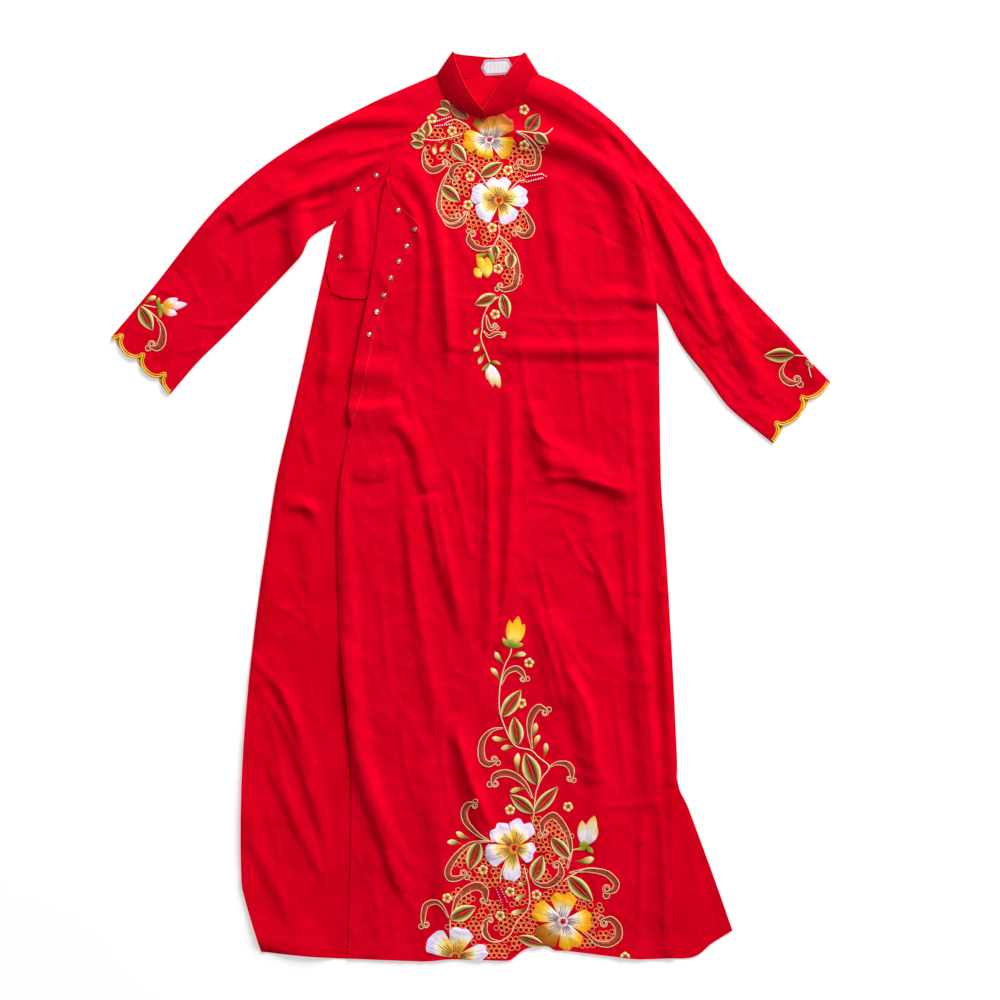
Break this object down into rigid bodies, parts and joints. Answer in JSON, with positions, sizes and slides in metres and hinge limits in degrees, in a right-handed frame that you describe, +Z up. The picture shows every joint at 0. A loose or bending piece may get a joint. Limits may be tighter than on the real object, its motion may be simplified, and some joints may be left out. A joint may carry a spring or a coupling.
{
  "type": "ao dai tunic",
  "caption": "Long red raglan tunic with a stand collar, side-opening flap, scalloped cuffs and cutwork embroidery, laid out flat on a surface.",
  "frame": {"origin": "middle of the laid-out spread, on the surface the tunic lies on", "axes": "+X towards the wearer's left sleeve, +Y from the hem up to the collar, +Z up from the surface"},
  "size_m": [1.0378, 1.3194, 0.0148],
  "materials": {
    "red_crepe": "fine matt crepe, bright red",
    "collar_crepe": "interfaced crepe, bright red",
    "label_weave": "bare woven label, off-white",
    "stud_steel": "small plated press studs"
  },
  "bodies": {
    "root": {"back_panel": "red_crepe", "front_panel": "red_crepe", "underlap": "red_crepe", "sleeve_right": "red_crepe", "sleeve_left": "red_crepe", "collar": "collar_crepe", "neck_label": "label_weave", "stud_flap_1": "stud_steel", "stud_flap_2": "stud_steel", "stud_flap_3": "stud_steel", "stud_flap_4": "stud_steel", "stud_flap_5": "stud_steel", "stud_flap_6": "stud_steel", "stud_flap_7": "stud_steel", "stud_flap_8": "stud_steel", "stud_sleeve_1": "stud_steel", "stud_sleeve_2": "stud_steel", "stud_underlap_1": "stud_steel"}
  },
  "joints": []
}
